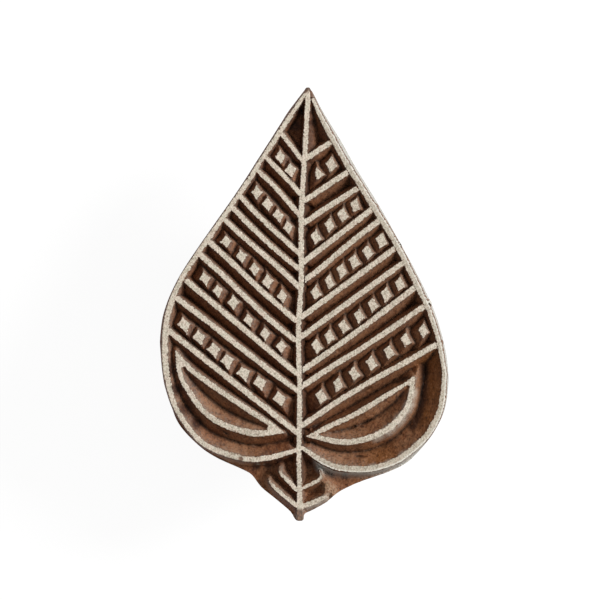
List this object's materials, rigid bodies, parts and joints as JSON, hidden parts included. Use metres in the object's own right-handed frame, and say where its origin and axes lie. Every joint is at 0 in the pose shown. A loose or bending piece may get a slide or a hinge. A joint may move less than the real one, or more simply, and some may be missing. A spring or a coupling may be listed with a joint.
{
  "type": "textile printing block",
  "caption": "Leaf-shaped wooden hand block for printing cloth: a face carved in relief with rim, midrib, veins, studs and half-moon loops, on a nailed wooden grip with finger coves.",
  "frame": {"origin": "on the palm face that the block stands on, under the middle of the leaf's length and width", "axes": "+Y towards the leaf's tip, +Z out of the printing face, +X to the right when the face is seen with its tip up"},
  "size_m": [0.0756, 0.113, 0.052],
  "materials": {
    "block_wood": "dark brown hardwood, carved, with a pale limed film on the printing face",
    "grip_wood": "brown hardwood, shaped by hand and worn smooth by the palm",
    "nail_iron": "dark iron with a little rust"
  },
  "bodies": {
    "root": {"carved_block": "block_wood", "handle": "grip_wood", "tip_nail": "nail_iron", "stem_nail": "nail_iron"}
  },
  "joints": []
}
